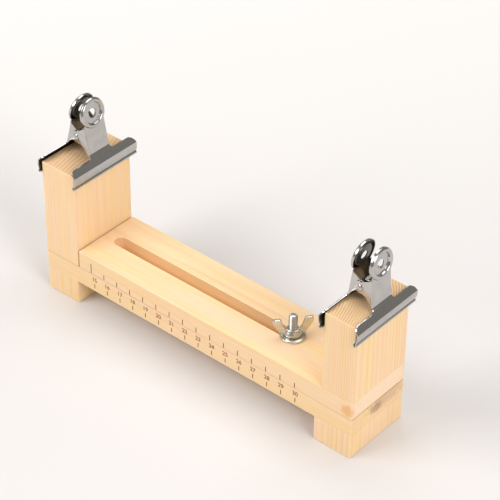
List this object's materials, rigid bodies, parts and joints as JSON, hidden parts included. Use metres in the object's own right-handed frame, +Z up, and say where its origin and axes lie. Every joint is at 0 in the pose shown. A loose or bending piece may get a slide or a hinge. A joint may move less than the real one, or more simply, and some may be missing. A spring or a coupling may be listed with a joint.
{
  "type": "sliding braiding jig",
  "caption": "Pine jig for braiding cord bracelets: a slotted rail slides over a lower rail to set the distance between two posts, each gripped by a sprung steel clip, locked by a wing nut.",
  "frame": {"origin": "middle of the closed jig's footprint, on the surface that the feet stand on", "axes": "+X from the left post to the right post, the way the upper rail slides out; +Z up; -Y is the front with the scale"},
  "size_m": [0.2287, 0.0509, 0.1264],
  "materials": {
    "pine_rails": "planed pine, grain along the rail, clear wax",
    "pine_blocks": "planed pine, grain upright, end grain on top",
    "zinc_clamp": "bright zinc plate",
    "zinc_screws": "zinc plate, slightly dull",
    "clip_steel": "bright nickel-plated spring steel",
    "pin_steel": "nickel-plated pin",
    "spring_wire": "drawn spring wire"
  },
  "bodies": {
    "base": {"lower_rail": "pine_rails", "left_foot": "pine_blocks", "right_foot": "pine_blocks", "left_post": "pine_blocks", "left_post_screws": "zinc_screws", "left_foot_screws": "zinc_screws", "right_foot_screws": "zinc_screws", "carriage_bolt": "zinc_clamp"},
    "slider": {"upper_rail": "pine_rails", "right_post": "pine_blocks", "right_post_screws": "zinc_screws"},
    "clamp_washer": {"washer": "zinc_clamp"},
    "nut": {"wing_nut": "zinc_clamp"},
    "left_clip": {"left_clip_pin": "pin_steel", "left_clip_spring": "spring_wire"},
    "left_outer_jaw": {"left_clip_outer_jaw": "clip_steel"},
    "left_inner_jaw": {"left_clip_inner_jaw": "clip_steel"},
    "right_clip": {"right_clip_pin": "pin_steel", "right_clip_spring": "spring_wire"},
    "right_outer_jaw": {"right_clip_outer_jaw": "clip_steel"},
    "right_inner_jaw": {"right_clip_inner_jaw": "clip_steel"}
  },
  "joints": [
    {"name": "slide_out", "type": "slide", "parent": "base", "child": "slider", "axis": [1, 0, 0], "range_m": [0, 0.1288]},
    {"name": "washer_lift", "type": "slide", "parent": "base", "child": "clamp_washer", "axis": [0, 0, 1], "range_m": [0, 0.0072]},
    {"name": "wing_nut_turn", "type": "hinge", "parent": "clamp_washer", "child": "nut", "pos_m": [0.0533, 0, 0.0397], "axis": [0, 0, 1], "range_deg": [0, 3240]},
    {"name": "left_clip_pull_off", "type": "slide", "parent": "base", "child": "left_clip", "axis": [0, 0, 1], "range_m": [0, 0.03]},
    {"name": "left_clip_open_outer", "type": "hinge", "parent": "left_clip", "child": "left_outer_jaw", "pos_m": [-0.0989, 0.0012, 0.10336], "axis": [0, -1, 0], "range_deg": [0, 4], "stiffness_Nm_per_rad": 0.3, "springref_deg": -34.38},
    {"name": "left_clip_open_inner", "type": "hinge", "parent": "left_clip", "child": "left_inner_jaw", "pos_m": [-0.0989, 0.0012, 0.10336], "axis": [0, 1, 0], "range_deg": [0, 4], "stiffness_Nm_per_rad": 0.3, "springref_deg": -34.38},
    {"name": "right_clip_pull_off", "type": "slide", "parent": "slider", "child": "right_clip", "axis": [0, 0, 1], "range_m": [0, 0.03]},
    {"name": "right_clip_open_outer", "type": "hinge", "parent": "right_clip", "child": "right_outer_jaw", "pos_m": [0.10235, 0.0003, 0.10214], "axis": [0, -1, 0], "range_deg": [0, 10], "stiffness_Nm_per_rad": 0.3, "springref_deg": -34.38},
    {"name": "right_clip_open_inner", "type": "hinge", "parent": "right_clip", "child": "right_inner_jaw", "pos_m": [0.10235, 0.0003, 0.10214], "axis": [0, 1, 0], "range_deg": [0, 10], "stiffness_Nm_per_rad": 0.3, "springref_deg": -34.38}
  ],
  "couplings": [
    {"joint": "wing_nut_turn", "follows": "washer_lift", "rad_per_m": 7853.9},
    {"joint": "left_clip_open_inner", "follows": "left_clip_open_outer", "ratio": 1},
    {"joint": "right_clip_open_inner", "follows": "right_clip_open_outer", "ratio": 1}
  ]
}
